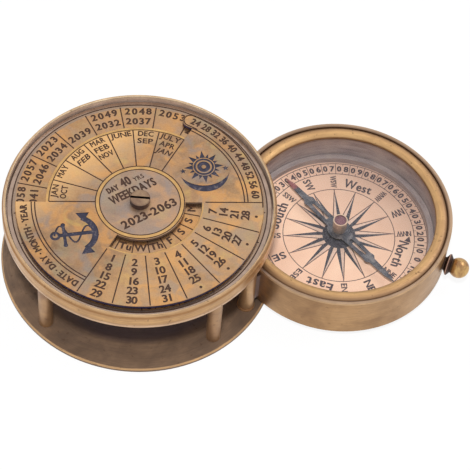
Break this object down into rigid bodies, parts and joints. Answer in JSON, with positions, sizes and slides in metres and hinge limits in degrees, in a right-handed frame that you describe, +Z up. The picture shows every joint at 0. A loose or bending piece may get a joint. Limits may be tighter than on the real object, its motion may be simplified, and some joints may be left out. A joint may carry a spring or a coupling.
{
  "type": "calendar compass",
  "caption": "Round desk calendar with turning year and date dials on pillars, over a round brass compass that swings out on a corner post.",
  "frame": {"origin": "centre of the base plate's underside, on the calendar's axis", "axes": "+Z up, +X to the right of the front, towards the swung-out compass, +Y to the back"},
  "size_m": [0.1332, 0.0812, 0.0285],
  "materials": {
    "dark_brass": "dark aged satin",
    "case_brass": "antique satin",
    "pillar_brass": "antique satin",
    "screw_brass": "worn satin",
    "dial_brass": "mottled antique patina, etched and filled",
    "bright_brass": "polished",
    "needle_steel": "blued, red north tip",
    "window_glass": "clear",
    "jewel": "polished bearing stone",
    "printed_card": "printed dial card",
    "backing_metal": "plain",
    "dark_lining": "oxidised"
  },
  "bodies": {
    "stand": {"base_plate": "dark_brass", "base_screws": "screw_brass", "deck_screws": "screw_brass", "front_left_pillar": "pillar_brass", "front_right_pillar": "pillar_brass", "rear_pillar": "pillar_brass", "hinge_post": "pillar_brass", "lower_thrust_washer": "pillar_brass", "upper_thrust_washer": "pillar_brass", "calendar_housing": "case_brass", "disc_spacer": "pillar_brass", "centre_bush": "pillar_brass", "separator_washer": "pillar_brass", "centre_screw": "screw_brass", "centre_nut": "screw_brass"},
    "year_dial": {"year_disc": "dial_brass"},
    "calendar_face": {"face_plate": "dial_brass"},
    "compass": {"compass_case": "case_brass", "hinge_barrel": "pillar_brass", "hinge_saddle": "pillar_brass", "card_backing": "backing_metal", "compass_card": "printed_card", "card_ring": "dark_lining", "needle_post": "pillar_brass", "compass_glass": "window_glass", "compass_bezel": "bright_brass", "pull_knob": "bright_brass"},
    "needle": {"compass_needle": "needle_steel", "needle_cap": "bright_brass", "cap_jewel": "jewel"}
  },
  "joints": [
    {"name": "compass_swing", "type": "hinge", "parent": "stand", "child": "compass", "pos_m": [0.03187, -0.01409, 0.01145], "axis": [0, 0, 1], "range_deg": [-95, 111.09]},
    {"name": "year_disc_spin", "type": "hinge", "parent": "stand", "child": "year_dial", "pos_m": [0, 0, 0.02425], "axis": [0, 0, 1], "continuous": true},
    {"name": "face_plate_spin", "type": "hinge", "parent": "stand", "child": "calendar_face", "pos_m": [0, 0, 0.02585], "axis": [0, 0, 1], "continuous": true},
    {"name": "needle_spin", "type": "hinge", "parent": "compass", "child": "needle", "pos_m": [0.05649, 0.01058, 0.0077], "axis": [0, 0, 1], "continuous": true}
  ]
}
